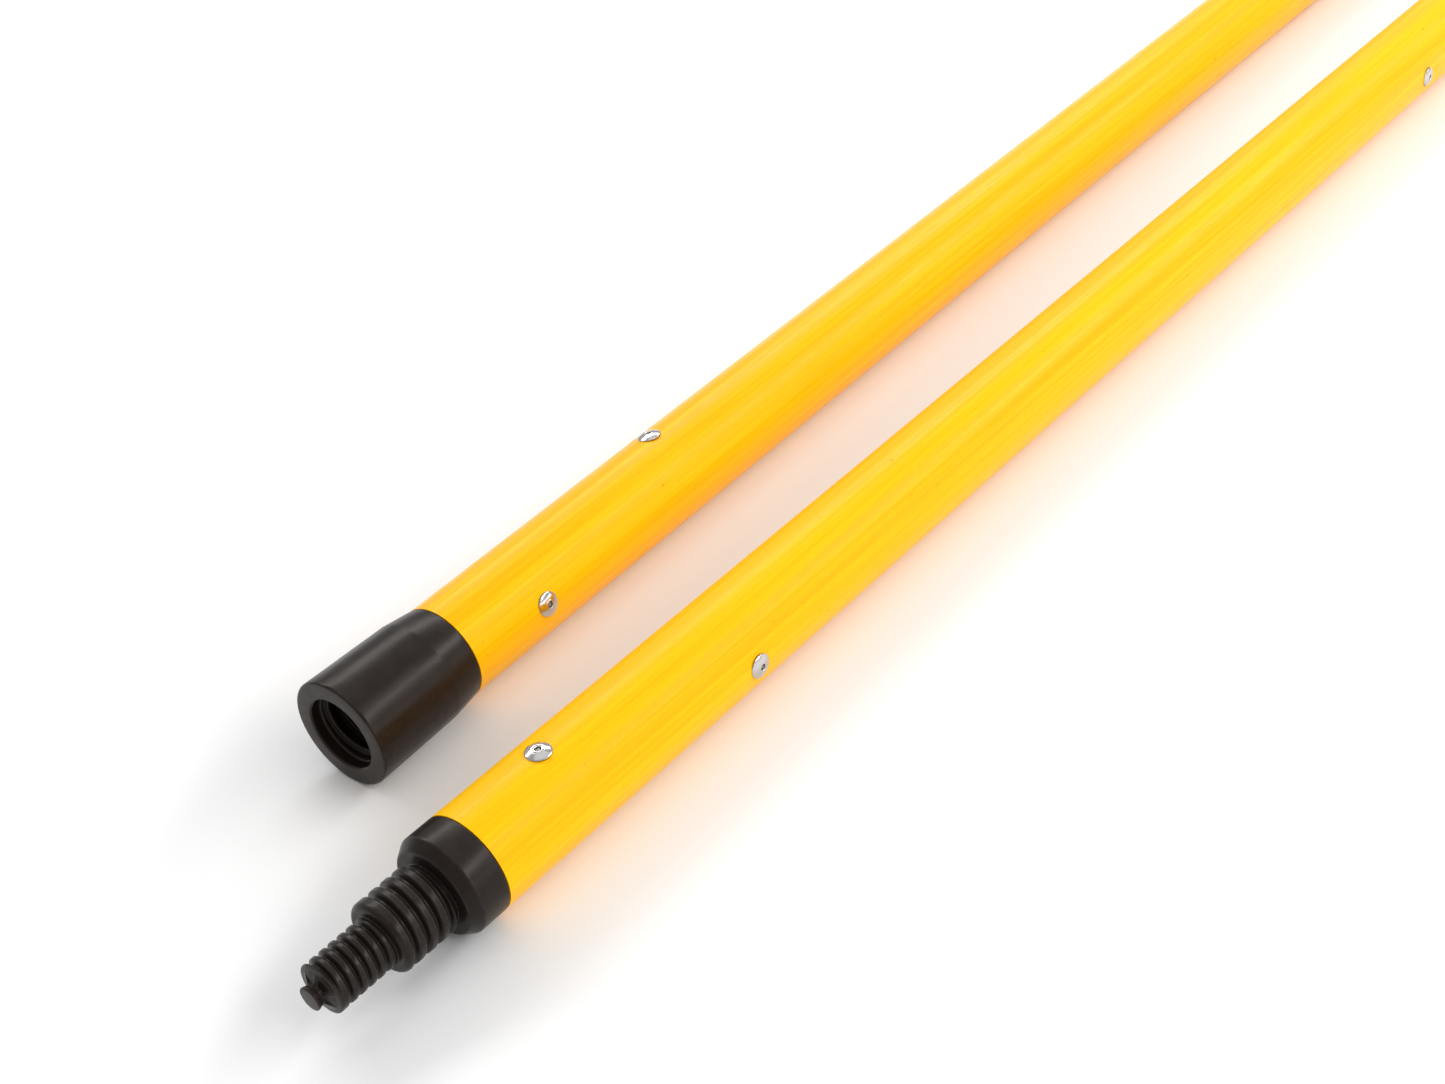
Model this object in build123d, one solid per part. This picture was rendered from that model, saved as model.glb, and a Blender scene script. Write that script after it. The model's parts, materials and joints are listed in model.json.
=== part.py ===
"""Screw-together extension pole for a paint roller: two identical sections laid head to tail.

Each section is a glass-fibre tube with a threaded socket at one end and a two-stage male end
at the other. Both fittings have a hollow spigot inside the tube, held by two blind rivets.
Millimetres, +Z up, resting on z = 0, origin at the middle of the whole box's underside.
"""

import math
import os

from build123d import *

# Tube
TUBE_OUTER_DIA = 32.0
TUBE_WALL = 3.0
TUBE_LENGTH = 672.0  # shoulder to shoulder of its two fittings
JOINT_GAP = 0.25  # open line between the tube's end and a fitting's shoulder

# Spigots, alike on both fittings
SPIGOT_LENGTH = 125.0
SPIGOT_WALL = 3.0
SPIGOT_CLEARANCE = 0.1  # radial, in the tube

# Large thread, trapezoidal, six turns to the inch
LEFT_HANDED = True  # both threads run the same way
LARGE_DIA = 22.0
LARGE_PITCH = 25.4 / 6
LARGE_DEPTH = 1.5
LARGE_GROOVE_TOP = 2.3
LARGE_GROOVE_ROOT = 0.7
LARGE_LENGTH = 18.6  # from the neck to the front of the shoulder's round
LARGE_ENTRY = -64.0  # degrees about the axis, where the groove's helix begins
THREAD_CLEARANCE = 0.35  # radial, between the male and the socket's thread
THREAD_SIDE_PLAY = 0.4  # along the axis

# Small thread, eight turns to the inch
SMALL_DIA = 15.0
SMALL_PITCH = 25.4 / 8
SMALL_DEPTH = 1.2
SMALL_GROOVE_TOP = 1.8
SMALL_GROOVE_ROOT = 0.5
SMALL_LENGTH = 19.7
SMALL_ENTRY = -29.0

# Male end
COLLAR_STRAIGHT = 9.7
COLLAR_LENGTH = 13.0
COLLAR_NARROWING = 2.2  # radial, over the collar's sloped front
NECK_LENGTH = 1.3
STAGE_ROUND = 2.4  # round of the large stage's front edge
MALE_SOLID_BACK = 5.0  # solid behind the shoulder before the spigot's hollow
NOSE_CONE_LENGTH = 2.9
NOSE_WAIST_DIA = 6.2
NOSE_BUTTON_DIA = 8.0
NOSE_BUTTON_LENGTH = 2.0
NOSE_POCKETS = 6
NOSE_POCKET_TURN = 23.1  # degrees about the axis, to the first pocket
NOSE_POCKET_DIA = 2.2
NOSE_POCKET_DEPTH = 1.6

# Socket end
SOCKET_LENGTH = 43.0
SOCKET_FLARE_LENGTH = 10.8
SOCKET_FLARE = 1.4  # radial, from the tube to the end of the flare
SOCKET_DRAFT = 0.8  # radial, from the flare to the rim
SOCKET_RIM_ROUND = 0.9
MOUTH_RELIEF = 0.75  # radial, from the thread's root out to the plain mouth
MOUTH_DEPTH = 3.4
MOUTH_CHAMFER = 0.5
SOCKET_THREAD_ROOM = 8.1  # thread past a seated male's large stage
SOCKET_BORE_ROOM = 2.0  # bore past a seated male's nose
PILOT_CLEARANCE = 1.0  # radial, round the male's small stage
SOCKET_WEB = 3.0

# Blind rivets
RIVET_NEAR = 32.0  # from the fitting's shoulder
RIVET_END_MARGIN = 18.0  # from the far rivet to the spigot's open end
RIVET_STEP = -90.0  # degrees about the section's axis, from near to far
RIVET_DIA = 4.0
RIVET_HEAD_DIA = 8.0
RIVET_HEAD_HEIGHT = 1.3
RIVET_EDGE_HEIGHT = 0.25
RIVET_HOLE_CLEARANCE = 0.05  # radial
RIVET_BULB_DIA = 5.8
RIVET_BULB_LENGTH = 2.8
MANDREL_DIA = 1.8
MANDREL_CLEARANCE = 0.06  # radial
MANDREL_HEAD_DIA = 3.0
MANDREL_HEAD_LENGTH = 1.8
MANDREL_RECESS = 0.35  # from the top of the head down to the broken end

# How the two sections lie
SECTION_A_ROLL = 76.3  # degrees, the near rivets' angle from straight up
SECTION_B_ROLL = 1.9
SECTION_B_SPREAD = 1.78  # degrees that section b turns away from section a
SECTION_B_SIDE = 66.3  # between the axes at section b's male shoulder
SECTION_B_AHEAD = 59.1  # that shoulder lies this far past section a's socket shoulder

# Sizes that follow
TUBE_OUTER_R = TUBE_OUTER_DIA / 2
TUBE_INNER_R = TUBE_OUTER_R - TUBE_WALL
SPIGOT_R = TUBE_INNER_R - SPIGOT_CLEARANCE
SPIGOT_INNER_R = SPIGOT_R - SPIGOT_WALL
LARGE_R = LARGE_DIA / 2
LARGE_ROOT_R = LARGE_R - LARGE_DEPTH
SMALL_R = SMALL_DIA / 2
SMALL_ROOT_R = SMALL_R - SMALL_DEPTH
LARGE_START = COLLAR_LENGTH + NECK_LENGTH
LARGE_END = LARGE_START + LARGE_LENGTH
SMALL_END = LARGE_END + SMALL_LENGTH
NOSE_WAIST = SMALL_END + NOSE_CONE_LENGTH
NOSE_END = NOSE_WAIST + NOSE_BUTTON_LENGTH
SOCKET_RIM_R = TUBE_OUTER_R + SOCKET_FLARE + SOCKET_DRAFT
SOCKET_RIM = SOCKET_LENGTH - SOCKET_RIM_ROUND
SOCKET_MINOR_R = LARGE_ROOT_R + THREAD_CLEARANCE
SOCKET_MAJOR_R = LARGE_R + THREAD_CLEARANCE
PILOT_R = SMALL_R + PILOT_CLEARANCE
MOUTH_R = SOCKET_MAJOR_R + MOUTH_RELIEF
SOCKET_THREAD_END = LARGE_END - COLLAR_LENGTH + SOCKET_THREAD_ROOM  # from the face
SOCKET_BORE_DEPTH = NOSE_END - COLLAR_LENGTH + SOCKET_BORE_ROOM
RIVET_FAR = SPIGOT_LENGTH - RIVET_END_MARGIN
RIVET_R = RIVET_DIA / 2

OVERCUT = 0.4  # how far a cutter stands past the skin that it cuts


def turned(*edges):
    """A solid turned about X from the closed half section that these edges draw above the axis."""
    return revolve(make_face(Curve() + list(edges)), Axis.X)


def turned_up(*edges):
    """A solid turned about Z from the closed half section that these edges draw, as (r, z)."""
    return revolve(Plane.XZ * make_face(Curve() + list(edges)), Axis.Z)


def post(radius, height):
    """An upright cylinder that stands on the origin."""
    return Cylinder(radius, height, align=(Align.CENTER, Align.CENTER, Align.MIN))


def groove(r_bottom, r_top, width_bottom, width_top, pitch, start, end, entry):
    """A helical cutter round X whose flanks run between two radii, drawn on past the skin."""
    slope = (width_top - width_bottom) / 2 / (r_top - r_bottom)
    skin = r_top + math.copysign(OVERCUT, r_top - r_bottom)
    half_skin = width_bottom / 2 + slope * (skin - r_bottom)
    half_bottom = width_bottom / 2
    helix = Helix(pitch=pitch, height=end - start, radius=r_bottom, lefthand=LEFT_HANDED)
    corners = [
        (r_bottom, -half_bottom),
        (skin, -half_skin),
        (skin, half_skin),
        (r_bottom, half_bottom),
    ]
    outline = Plane.XZ * make_face(Polyline(*corners, close=True))
    along_x = Pos(start, 0, 0) * Rot(entry - 180, 0, 0) * Rot(0, 90, 0)
    return along_x * sweep(outline, path=helix, is_frenet=True)


def spigot(solid_back):
    """The hollow spigot: from its open end to the shoulder at x = 0, solid for the last stretch."""
    outside = [(-SPIGOT_LENGTH, SPIGOT_INNER_R), (-SPIGOT_LENGTH, SPIGOT_R), (0, SPIGOT_R), (0, 0)]
    inside = [(-solid_back, 0), (-solid_back, SPIGOT_INNER_R)]
    return turned(Polyline(*outside, *inside, close=True))


def rivet_places():
    """Where each rivet stands in a section, +Z outwards along the rivet, by name."""
    places = {}
    for fitting, shoulder, inward in (("socket", 0, 1), ("male", TUBE_LENGTH, -1)):
        for name, station, angle in (("near", RIVET_NEAR, 0), ("far", RIVET_FAR, RIVET_STEP)):
            places[fitting, name] = Pos(shoulder + inward * station, 0, 0) * Rot(angle, 0, 0)
    return places


def drilled(shape):
    """A piece of a section with the rivet holes through its wall."""
    drill = post(RIVET_R + RIVET_HOLE_CLEARANCE, TUBE_OUTER_DIA)
    for place in rivet_places().values():
        shape -= place * drill
    return shape


def tube():
    """The pultruded tube, open at both ends, short of each shoulder by the joint gap."""
    ends = (JOINT_GAP, TUBE_LENGTH - JOINT_GAP)
    wall = [(ends[0], TUBE_INNER_R), (ends[0], TUBE_OUTER_R)]
    wall += [(ends[1], TUBE_OUTER_R), (ends[1], TUBE_INNER_R)]
    return turned(Polyline(*wall, close=True))


def male_body():
    """Collar, neck, both plain stages and the waisted nose, before the threads are cut."""
    collar_front_r = TUBE_OUTER_R - COLLAR_NARROWING
    round_start = LARGE_END - STAGE_ROUND
    round_low = LARGE_R - STAGE_ROUND
    diagonal = STAGE_ROUND * math.sqrt(0.5)
    cone_r = SMALL_R - 0.5
    waist_r = NOSE_WAIST_DIA / 2
    button_r = NOSE_BUTTON_DIA / 2
    collar = Polyline(
        (0, 0),
        (0, TUBE_OUTER_R),
        (COLLAR_STRAIGHT, TUBE_OUTER_R),
        (COLLAR_LENGTH, collar_front_r),
        (COLLAR_LENGTH, LARGE_ROOT_R),
        (LARGE_START, LARGE_ROOT_R),
        (LARGE_START + LARGE_DEPTH / 2, LARGE_R),
        (round_start, LARGE_R),
    )
    stage_round = ThreePointArc(
        (round_start, LARGE_R),
        (round_start + diagonal, round_low + diagonal),
        (LARGE_END, round_low),
    )
    small_stage = Polyline(
        (LARGE_END, round_low),
        (LARGE_END, SMALL_R),
        (SMALL_END - 0.5, SMALL_R),
        (SMALL_END, cone_r),
    )
    middle = (SMALL_END + 0.3 * NOSE_CONE_LENGTH, waist_r + 0.32 * (cone_r - waist_r))
    cone = ThreePointArc((SMALL_END, cone_r), middle, (NOSE_WAIST, waist_r))
    button = Polyline(
        (NOSE_WAIST, waist_r),
        (NOSE_END - 0.4, button_r),
        (NOSE_END, button_r - 0.25),
        (NOSE_END, 0),
        (0, 0),
    )
    return turned(collar, stage_round, small_stage, cone, button)


def male_end():
    """The male end: spigot, collar, two threads and a nose with shallow pockets round its cone."""
    shape = male_body() + spigot(MALE_SOLID_BACK)
    shape -= groove(
        LARGE_ROOT_R,
        LARGE_R,
        LARGE_GROOVE_ROOT,
        LARGE_GROOVE_TOP,
        LARGE_PITCH,
        LARGE_START,
        LARGE_END - STAGE_ROUND,
        LARGE_ENTRY,
    )
    shape -= groove(
        SMALL_ROOT_R,
        SMALL_R,
        SMALL_GROOVE_ROOT,
        SMALL_GROOVE_TOP,
        SMALL_PITCH,
        LARGE_END + SMALL_GROOVE_TOP,
        SMALL_END - SMALL_GROOVE_TOP,
        SMALL_ENTRY,
    )
    pocket = post(NOSE_POCKET_DIA / 2, NOSE_POCKET_DEPTH)
    pocket_r = NOSE_WAIST_DIA / 2 + NOSE_POCKET_DIA / 2
    for turn in range(NOSE_POCKETS):
        around = Rot(NOSE_POCKET_TURN + 360 * turn / NOSE_POCKETS, 0, 0)
        shape -= around * Pos(SMALL_END, 0, pocket_r) * Rot(0, 90, 0) * pocket
    return shape


def socket_outside():
    """The flared, slightly drafted sleeve with a rounded rim, before its bore is cut."""
    face_r = SOCKET_RIM_R - SOCKET_RIM_ROUND
    diagonal = SOCKET_RIM_ROUND * math.sqrt(0.5)
    side = Polyline(
        (0, 0),
        (0, TUBE_OUTER_R),
        (SOCKET_FLARE_LENGTH, TUBE_OUTER_R + SOCKET_FLARE),
        (SOCKET_RIM, SOCKET_RIM_R),
    )
    rim = ThreePointArc(
        (SOCKET_RIM, SOCKET_RIM_R),
        (SOCKET_RIM + diagonal, face_r + diagonal),
        (SOCKET_LENGTH, face_r),
    )
    face = Polyline((SOCKET_LENGTH, face_r), (SOCKET_LENGTH, 0), (0, 0))
    return turned(side, rim, face)


def socket_bore():
    """The cutter for the stepped bore: lead-in, plain mouth, thread crests and blind pilot."""
    mouth_end = SOCKET_LENGTH - MOUTH_DEPTH
    thread_end = SOCKET_LENGTH - SOCKET_THREAD_END
    steps = [
        (SOCKET_LENGTH - SOCKET_BORE_DEPTH, 0),
        (SOCKET_LENGTH - SOCKET_BORE_DEPTH, PILOT_R),
        (thread_end, PILOT_R),
        (thread_end, SOCKET_MINOR_R),
        (mouth_end - (MOUTH_R - SOCKET_MINOR_R) / 2, SOCKET_MINOR_R),
        (mouth_end, MOUTH_R),
        (SOCKET_LENGTH - MOUTH_CHAMFER, MOUTH_R),
        (SOCKET_LENGTH, MOUTH_R + MOUTH_CHAMFER),
        (SOCKET_LENGTH + OVERCUT, MOUTH_R + MOUTH_CHAMFER),
        (SOCKET_LENGTH + OVERCUT, 0),
    ]
    return turned(Polyline(*steps, close=True))


def socket_end():
    """The socket end: flared sleeve, spigot, blind bore and its internal thread."""
    bore_past_shoulder = max(SOCKET_BORE_DEPTH - SOCKET_LENGTH, 0)
    shape = socket_outside() + spigot(bore_past_shoulder + SOCKET_WEB)
    shape -= socket_bore()
    ridge_at_minor = LARGE_PITCH - LARGE_GROOVE_ROOT - (LARGE_GROOVE_TOP - LARGE_GROOVE_ROOT) * (
        THREAD_CLEARANCE / LARGE_DEPTH
    )
    ridge_at_major = LARGE_PITCH - LARGE_GROOVE_TOP
    shape -= groove(
        SOCKET_MAJOR_R,
        SOCKET_MINOR_R,
        ridge_at_major + THREAD_SIDE_PLAY,
        ridge_at_minor + THREAD_SIDE_PLAY / 2,
        LARGE_PITCH,
        SOCKET_LENGTH - SOCKET_THREAD_END + LARGE_PITCH,
        SOCKET_LENGTH - MOUTH_DEPTH,
        LARGE_ENTRY,
    )
    return shape


def rivet_shell():
    """A set blind rivet standing on +Z: dome on the tube, shank, and bulb inside the spigot."""
    bulb_low = SPIGOT_INNER_R - RIVET_BULB_LENGTH
    bulb_r = RIVET_BULB_DIA / 2
    head_r = RIVET_HEAD_DIA / 2
    crown = TUBE_OUTER_R + RIVET_HEAD_HEIGHT
    seat = math.sqrt(TUBE_OUTER_R**2 - head_r**2) - OVERCUT
    edge = TUBE_OUTER_R + RIVET_EDGE_HEIGHT
    dome_r = (head_r**2 + (crown - edge) ** 2) / 2 / (crown - edge)
    half_turn = math.asin(head_r / dome_r) / 2
    dome_middle = (dome_r * math.sin(half_turn), crown - dome_r * (1 - math.cos(half_turn)))
    head = turned_up(
        Polyline((0, crown), (0, seat), (head_r, seat), (head_r, edge)),
        ThreePointArc((head_r, edge), dome_middle, (0, crown)),
    )
    head -= Rot(0, 90, 0) * Cylinder(TUBE_OUTER_R, 2 * RIVET_HEAD_DIA)
    bulb = Pos(0, 0, bulb_low) * post(bulb_r, RIVET_BULB_LENGTH)
    bulb &= Rot(0, 90, 0) * Cylinder(SPIGOT_INNER_R, 2 * RIVET_HEAD_DIA)
    shank = Pos(0, 0, bulb_low) * post(RIVET_R, TUBE_OUTER_R + RIVET_EDGE_HEIGHT - bulb_low)
    return head + shank + bulb - post(MANDREL_DIA / 2 + MANDREL_CLEARANCE, crown + OVERCUT)


def mandrel():
    """The broken mandrel left in a set rivet: a stem in the bore and a head under the bulb."""
    head_top = SPIGOT_INNER_R - RIVET_BULB_LENGTH
    stem_top = TUBE_OUTER_R + RIVET_HEAD_HEIGHT - MANDREL_RECESS
    head_r = MANDREL_HEAD_DIA / 2
    stem_r = MANDREL_DIA / 2
    corners = [
        (0, head_top - MANDREL_HEAD_LENGTH),
        (0.6 * head_r, head_top - MANDREL_HEAD_LENGTH),
        (head_r, head_top - 0.5 * MANDREL_HEAD_LENGTH),
        (head_r, head_top),
        (stem_r, head_top),
        (stem_r, stem_top - 0.3),
        (0.6 * stem_r, stem_top),
        (0, stem_top),
    ]
    return turned_up(Polyline(*corners, close=True))


def section_pieces():
    """Every piece of one section: socket shoulder at x = 0, male shoulder at x = TUBE_LENGTH."""
    pieces = {
        "tube": drilled(tube()),
        "socket_end": drilled(Rot(0, 0, 180) * socket_end()),
        "male_end": drilled(Pos(TUBE_LENGTH, 0, 0) * male_end()),
    }
    shell = rivet_shell()
    stub = mandrel()
    for (fitting, name), place in rivet_places().items():
        pieces[f"{fitting}_rivet_{name}"] = place * shell
        pieces[f"{fitting}_mandrel_{name}"] = place * stub
    return pieces


def lying(roll):
    """Roll a section about its axis and rest it on the socket's rim and the collar's edge."""
    span = SOCKET_RIM + TUBE_LENGTH + COLLAR_STRAIGHT
    tilt = math.atan2(SOCKET_RIM_R - TUBE_OUTER_R, span)
    height = SOCKET_RIM_R * math.cos(tilt) - SOCKET_RIM * math.sin(tilt)
    return Pos(0, 0, height) * Rot(0, math.degrees(tilt), 0) * Rot(roll, 0, 0)


def placements():
    """Where each section lies: a along +X, b turned end for end beside it, male end forward."""
    b_turn = Rot(0, 0, 180 - SECTION_B_SPREAD)
    spread = math.radians(SECTION_B_SPREAD)
    b_x = -SECTION_B_AHEAD + TUBE_LENGTH * math.cos(spread)
    b_y = -SECTION_B_SIDE - TUBE_LENGTH * math.sin(spread)
    section_b = Pos(b_x, b_y, 0) * b_turn * lying(SECTION_B_ROLL)
    return {"section_a": lying(SECTION_A_ROLL), "section_b": section_b}


def model():
    """Both sections in place, with the origin at the middle of the box's underside."""
    pieces = section_pieces()
    placed = {
        f"{section}_{name}": place * shape
        for section, place in placements().items()
        for name, shape in pieces.items()
    }
    boxes = [shape.bounding_box() for shape in placed.values()]
    middle_x = (min(box.min.X for box in boxes) + max(box.max.X for box in boxes)) / 2
    middle_y = (min(box.min.Y for box in boxes) + max(box.max.Y for box in boxes)) / 2
    to_origin = Pos(-middle_x, -middle_y, -min(box.min.Z for box in boxes))
    return {name: to_origin * shape for name, shape in placed.items()}, to_origin


if __name__ == "__main__":
    os.makedirs("parts", exist_ok=True)
    for node, solid in model()[0].items():
        export_step(solid, f"parts/{node}.step")
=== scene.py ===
"""A screw-together roller extension pole: two alike sections laid head to tail on a pale floor.

Fittings, rivets and broken mandrels are surfaces worked out on grids in each section's own
frame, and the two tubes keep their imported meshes. Sizes are metres unless a name says degrees.
"""

import json
import math

import bpy
import numpy as np
from bpy.props import FloatProperty, FloatVectorProperty, IntProperty, PointerProperty
from mathutils import Matrix, Vector


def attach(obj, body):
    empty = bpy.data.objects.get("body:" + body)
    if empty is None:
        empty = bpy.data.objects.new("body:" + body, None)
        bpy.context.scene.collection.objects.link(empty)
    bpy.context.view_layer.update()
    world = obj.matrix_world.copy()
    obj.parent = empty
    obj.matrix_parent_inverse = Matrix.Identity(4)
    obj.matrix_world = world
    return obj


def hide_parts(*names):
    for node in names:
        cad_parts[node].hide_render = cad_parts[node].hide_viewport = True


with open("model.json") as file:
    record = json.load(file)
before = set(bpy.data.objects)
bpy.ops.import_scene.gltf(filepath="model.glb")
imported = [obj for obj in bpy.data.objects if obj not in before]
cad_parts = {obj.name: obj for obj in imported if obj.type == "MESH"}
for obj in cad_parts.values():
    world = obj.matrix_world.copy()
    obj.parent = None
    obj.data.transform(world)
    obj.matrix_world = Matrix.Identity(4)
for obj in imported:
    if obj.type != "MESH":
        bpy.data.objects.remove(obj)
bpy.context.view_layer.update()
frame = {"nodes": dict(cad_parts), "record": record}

bl_info = {
    "name": "Roller Extension Pole",
    "version": (1, 0, 0),
    "blender": (4, 5, 0),
    "location": "3D View > Sidebar > Pole",
    "description": "Builds the fittings, rivets, finishes and stage of a two-section extension pole",
    "category": "Add Mesh",
}

SECTIONS = ("section_a", "section_b")
EDGE = "edge"  # how far a point stands on an outward edge, 0 to 1
RECESS_SHADE = "recess"  # how deep a point sits in a hole or groove, 0 to 1; the nylon and the rivet aluminium paint shade there
FRONT_SHEEN = "front"  # 1 on the socket's flat face, 0 elsewhere; the nylon paints that face paler there, a painted sheen
TURN = 2 * math.pi
MM = 0.001
LARGE_CREASE = 0.55 * MM  # width over which a thread's crest is rounded
SMALL_CREASE = 0.48 * MM
SOCKET_CREASE = 0.5 * MM
GROOVE_SHADE_DEPTH = 1.6 * MM  # how far a male point lies below its profile where its painted groove shade is full
FRONT_SHEEN_EDGE = (0.25 * MM, 0.05 * MM)  # behind the socket's face: where the painted paler sheen on the face starts, is full
NECK_SHADE = (12.5 * MM, 9.6 * MM)  # radii between which the neck darkens from none to full
LIT_POINT = (0.25, -0.03, 0.0)  # what the softboxes aim at, from section a's socket shoulder


# Sizes and colours


def length(name, description, millimetres):
    """A length property, given in millimetres and kept in metres."""
    return FloatProperty(
        name=name,
        description=description,
        default=millimetres * MM,
        min=0.0,
        precision=5,
        subtype="DISTANCE",
        unit="LENGTH",
    )


def angle(name, description, degrees):
    """An angle property, given in degrees and kept in radians."""
    return FloatProperty(
        name=name, description=description, default=math.radians(degrees), unit="ROTATION"
    )


def colour(name, description, default):
    """A linear colour property."""
    return FloatVectorProperty(
        name=name, description=description, default=default, size=3, min=0.0, max=1.0, subtype="COLOR"
    )


def share(name, description, default):
    """A plain factor from 0 to 1."""
    return FloatProperty(
        name=name, description=description, default=default, min=0.0, max=1.0, subtype="FACTOR"
    )


class PoleSectionSizes(bpy.types.PropertyGroup):
    """The tube and the spigots that both fittings put into it."""

    tube_radius: length("Tube radius", "Outside radius of the tube", 16.0)
    tube_length: length("Tube length", "From one fitting's shoulder to the other's", 672.0)
    spigot_radius: length("Spigot radius", "Outside radius of a spigot", 12.9)
    spigot_bore: length("Spigot bore", "Inside radius of a spigot", 9.9)
    spigot_length: length("Spigot length", "How far a spigot goes into the tube", 125.0)
    columns: IntProperty(
        name="Columns", description="Grid columns round a fitting", default=200, min=48, max=256
    )


class PoleMaleSizes(bpy.types.PropertyGroup):
    """The male end, measured outwards from the tube's shoulder."""

    solid_back: length("Solid back", "Solid behind the shoulder", 5.0)
    collar_straight: length("Collar", "Straight part of the collar", 9.7)
    collar_end: length("Collar end", "Front face of the collar", 13.0)
    collar_face_radius: length("Collar face", "Radius of the collar's front face", 13.7)
    large_radius: length("Large radius", "Crest radius of the large thread", 11.2)
    large_root: length("Large root", "Root radius of the large thread", 9.7)
    large_start: length("Large start", "End of the neck and start of the thread", 14.3)
    large_end: length("Large end", "Front of the large stage", 32.9)
    large_pitch: length("Large pitch", "Advance of the large thread in one turn", 25.4 / 6)
    large_top: length("Large groove", "Width of the large groove at its top", 2.3)
    large_bottom: length("Large groove floor", "Width of the large groove at its root", 0.7)
    large_entry: angle("Large entry", "Turn at which the large groove starts", 86.0)
    large_round: length("Stage round", "Round of the large stage's front edge", 2.4)
    small_radius: length("Small radius", "Crest radius of the small thread", 7.8)
    small_root: length("Small root", "Root radius of the small thread", 6.6)
    small_start: length("Small start", "Where the small groove starts", 34.7)
    small_last: length("Small last", "Where the small groove ends", 51.5)
    small_end: length("Small end", "Front of the small stage", 52.6)
    small_pitch: length("Small pitch", "Advance of the small thread in one turn", 25.4 / 8)
    small_top: length("Small groove", "Width of the small groove at its top", 1.8)
    small_bottom: length("Small groove floor", "Width of the small groove at its root", 0.5)
    small_entry: angle("Small entry", "Turn at which the small groove starts", 81.0)
    waist: length("Waist", "Where the nose is narrowest", 54.8)
    waist_radius: length("Waist radius", "Radius of the nose's waist", 3.25)
    rib_radius: length("Rib radius", "Radius of a nose rib at the thread", 6.2)
    button_radius: length("Button radius", "Radius of the nose's button", 3.7)
    nose_end: length("Nose end", "Front of the button", 56.7)
    ribs: IntProperty(name="Ribs", description="Webs round the nose", default=6, min=3, max=16)
    rib_turn: angle("Rib turn", "Turn of the first nose rib", -6.9)


class PoleSocketSizes(bpy.types.PropertyGroup):
    """The socket end, measured outwards from the tube's shoulder."""

    flare_end: length("Flare end", "Where the steep flare meets the long draft", 10.8)
    flare_radius: length("Flare radius", "Radius at the end of the flare", 17.4)
    rim_radius: length("Rim radius", "Radius at the rim", 18.2)
    rim_round: length("Rim round", "Round of the rim's outer edge", 0.9)
    face: length("Face", "Front face of the socket", 43.0)
    mouth_radius: length("Mouth radius", "Radius of the plain mouth", 12.1)
    mouth_depth: length("Mouth depth", "Depth of the plain mouth", 3.4)
    minor_radius: length("Minor radius", "Crest radius of the inside thread", 10.05)
    major_radius: length("Major radius", "Root radius of the inside thread", 11.55)
    thread_end: length("Thread end", "Inner end of the thread", 15.0)
    groove_at_crest: length("Groove at crest", "Width of the inside groove at its crest", 3.36)
    groove_at_root: length("Groove at root", "Width of the inside groove at its root", 2.33)
    pilot_radius: length("Pilot radius", "Radius of the bore past the thread", 8.8)
    bore_end: length("Bore end", "Bottom of the bore, behind the shoulder", 3.5)
    web: length("Web", "Thickness behind the bore", 3.0)


class PoleRivetSizes(bpy.types.PropertyGroup):
    """The blind rivets, measured out from the section's axis."""

    near: length("Near rivet", "From the shoulder to the near rivet", 32.0)
    far: length("Far rivet", "From the shoulder to the far rivet", 107.0)
    shank_radius: length("Shank radius", "Radius of the shank", 2.0)
    bore_radius: length("Bore radius", "Radius of the mandrel's bore", 0.96)
    head_radius: length("Head radius", "Radius of the head", 4.0)
    head_height: length("Head height", "Height of the crown over the tube", 1.3)
    edge_height: length("Edge height", "Thickness of the head's edge", 0.25)
    bulb_radius: length("Bulb radius", "Radius of the blind bulb", 2.9)
    bulb_length: length("Bulb length", "Length of the blind bulb", 2.8)
    mandrel_radius: length("Mandrel radius", "Radius of the broken mandrel", 0.9)
    mandrel_head: length("Mandrel head", "Radius of the mandrel's head", 1.5)
    mandrel_head_length: length("Mandrel head length", "Length of the mandrel's head", 1.8)
    recess: length("Recess", "Depth of the break below the crown", 0.35)


class PoleFinishes(bpy.types.PropertyGroup):
    """Colours and gloss of the pole's four materials and the floor."""

    resin: colour("Resin", "Main yellow of the tube", (1.0, 0.50, 0.001))
    resin_deep: colour("Deep resin", "Deep orange streaks of the tube", (1.0, 0.385, 0.0))
    resin_pale: colour("Pale resin", "Pale fibre streaks of the tube", (1.0, 0.66, 0.008))
    resin_speck: colour("Specks", "Small burnt specks in the resin", (0.50, 0.16, 0.0))
    resin_gloss: share("Resin roughness", "Roughness of the tube", 0.33)
    nylon: colour("Nylon", "Brownish black of the mouldings", (0.0125, 0.0084, 0.0067))
    # also the colour of the painted paler sheen on the socket's flat face
    nylon_rub_and_sheen: colour("Rubbed nylon", "Paler nylon where edges are rubbed", (0.040, 0.032, 0.027))
    nylon_gloss: share("Nylon roughness", "Roughness of the mouldings", 0.31)
    aluminium: colour("Aluminium", "Rivet heads", (0.62, 0.60, 0.59))
    # also the colour of the painted shade in each rivet's bore
    aluminium_stain_and_shade: colour("Dull aluminium", "Aluminium in hollows and stains", (0.30, 0.285, 0.275))
    steel: colour("Steel", "Broken mandrels", (0.34, 0.325, 0.31))
    floor: colour("Floor", "The pale floor", (0.90, 0.90, 0.90))


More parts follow.
